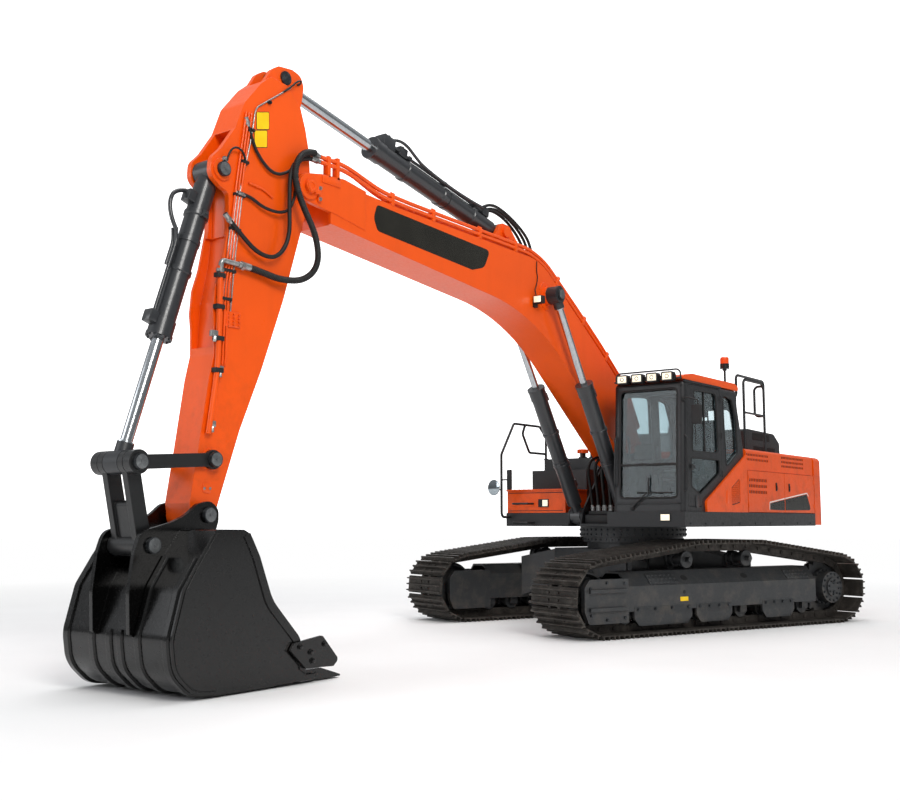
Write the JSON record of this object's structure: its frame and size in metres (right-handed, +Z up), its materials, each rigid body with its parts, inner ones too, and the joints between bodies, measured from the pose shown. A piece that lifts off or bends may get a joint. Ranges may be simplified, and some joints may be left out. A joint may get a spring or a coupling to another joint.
{
  "type": "excavator",
  "caption": "Tracked excavator with a long boom, hanging arm and bucket, glazed cab, long engine deck and swung tracks",
  "frame": {"origin": "on the ground under the swing axis", "axes": "+X forward along the boom, +Y to the cab's side, +Z up"},
  "size_m": [11.5918, 4.9205, 5.3106],
  "materials": {
    "orange": "semi-gloss paint",
    "dark": "satin paint",
    "shoes": "worn steel",
    "black": "semi-gloss paint",
    "pins": "satin paint",
    "chrome": "polished",
    "glass": "clear, slightly tinted",
    "seat": "woven",
    "plastic": "grained",
    "amber": "translucent"
  },
  "bodies": {
    "undercarriage": {"carbody": "dark", "swing_ring_lower": "dark", "track_frame_left": "dark", "track_frame_right": "dark", "track_left": "shoes", "track_right": "shoes", "sprockets": "dark", "idlers": "dark", "final_drives": "dark", "track_rollers": "dark", "carrier_rollers": "dark"},
    "house": {"deck": "dark", "swing_ring_upper": "dark", "deck_pins": "pins", "cab": "dark", "cab_roof": "orange", "cab_glass": "glass", "cab_lamps": "dark", "beacon": "amber", "seat": "seat", "cab_controls": "plastic", "body": "orange", "left_wedge": "orange", "counterweight": "orange", "engine": "dark", "front_box": "orange", "fuel_tank": "dark", "oil_tank": "dark", "left_handrail": "dark", "right_handrail": "dark"},
    "cab_door": {"cab_door": "dark", "door_glass": "glass"},
    "engine_hood": {"engine_hood": "dark"},
    "left_door_front": {"left_door_front": "orange"},
    "left_door_rear": {"left_door_rear": "orange"},
    "right_door": {"right_door": "orange"},
    "boom": {"boom": "orange", "boom_pins": "pins"},
    "lift_cylinders": {"lift_cylinders": "dark"},
    "lift_rods": {"lift_rods": "chrome"},
    "arm": {"arm": "orange", "arm_pins": "pins"},
    "arm_cylinder": {"arm_cylinder": "dark"},
    "arm_rod": {"arm_rod": "chrome"},
    "side_links": {"side_links": "dark", "link_pin": "pins"},
    "h_link": {"h_link": "dark"},
    "bucket": {"bucket": "black", "bucket_teeth": "black", "side_cutters": "black", "bucket_pins": "pins"},
    "bucket_cylinder": {"bucket_cylinder": "dark"},
    "bucket_rod": {"bucket_rod": "chrome"}
  },
  "joints": [
    {"name": "swing", "type": "hinge", "parent": "undercarriage", "child": "house", "pos_m": [0, 0, 1.09], "axis": [0, 0, 1], "continuous": true},
    {"name": "cab_door", "type": "hinge", "parent": "house", "child": "cab_door", "pos_m": [0.437, 1.466, 0], "axis": [0, 0, 1], "range_deg": [0, 95]},
    {"name": "engine_hood", "type": "hinge", "parent": "house", "child": "engine_hood", "pos_m": [-1.592, 0, 2.22], "axis": [0, 1, 0], "range_deg": [0, 60]},
    {"name": "left_door_front", "type": "hinge", "parent": "house", "child": "left_door_front", "pos_m": [-0.298, 1.492, 0], "axis": [0, 0, -1], "range_deg": [0, 100]},
    {"name": "left_door_rear", "type": "hinge", "parent": "house", "child": "left_door_rear", "pos_m": [-2.697, 1.492, 0], "axis": [0, 0, 1], "range_deg": [0, 100]},
    {"name": "right_door", "type": "hinge", "parent": "house", "child": "right_door", "pos_m": [-2.697, -1.492, 0], "axis": [0, 0, -1], "range_deg": [0, 100]},
    {"name": "boom", "type": "hinge", "parent": "house", "child": "boom", "pos_m": [0.25, 0, 2.06], "axis": [0, -1, 0], "range_deg": [-60, 40]},
    {"name": "lift_cylinders", "type": "hinge", "parent": "house", "child": "lift_cylinders", "pos_m": [0.814, 0, 1.356], "axis": [0, -1, 0], "range_deg": [-58, 39]},
    {"name": "lift_rods", "type": "slide", "parent": "lift_cylinders", "child": "lift_rods", "axis": [0.5371, 0, 0.8435], "range_m": [-0.87, 0.58]},
    {"name": "arm", "type": "hinge", "parent": "boom", "child": "arm", "pos_m": [6.373, 0, 4.246], "axis": [0, -1, 0], "range_deg": [-50, 50]},
    {"name": "arm_cylinder", "type": "hinge", "parent": "boom", "child": "arm_cylinder", "pos_m": [3.165, 0, 4.515], "axis": [0, -1, 0], "range_deg": [-6, 6]},
    {"name": "arm_rod", "type": "slide", "parent": "arm_cylinder", "child": "arm_rod", "axis": [0.9801, 0, 0.1983], "range_m": [-0.75, 0.75]},
    {"name": "bucket", "type": "hinge", "parent": "arm", "child": "bucket", "pos_m": [7.444, 0, 1.337], "axis": [0, -1, 0], "range_deg": [-85, 80]},
    {"name": "side_links", "type": "hinge", "parent": "arm", "child": "side_links", "pos_m": [7.362, 0, 1.777], "axis": [0, -1, 0], "range_deg": [-61, 58]},
    {"name": "h_link", "type": "hinge", "parent": "bucket", "child": "h_link", "pos_m": [7.973, 0, 1.11], "axis": [0, -1, 0], "range_deg": [-52, 55]},
    {"name": "bucket_cylinder", "type": "hinge", "parent": "arm", "child": "bucket_cylinder", "pos_m": [7.312, 0, 4.176], "axis": [0, -1, 0], "range_deg": [-7, 7]},
    {"name": "bucket_rod", "type": "slide", "parent": "bucket_cylinder", "child": "bucket_rod", "axis": [0.31, 0, -0.9507], "range_m": [-0.65, 0.69]}
  ],
  "couplings": [
    {"joint": "lift_cylinders", "follows": "boom", "ratio": 0.9532},
    {"joint": "lift_rods", "follows": "boom", "m_per_rad": 0.8115},
    {"joint": "arm_cylinder", "follows": "arm", "ratio": 0.1054},
    {"joint": "arm_rod", "follows": "arm", "m_per_rad": -0.8452},
    {"joint": "side_links", "follows": "bucket", "ratio": 0.7},
    {"joint": "h_link", "follows": "bucket", "ratio": -0.62},
    {"joint": "bucket_cylinder", "follows": "bucket", "ratio": 0.0764},
    {"joint": "bucket_rod", "follows": "bucket", "m_per_rad": -0.4559}
  ]
}
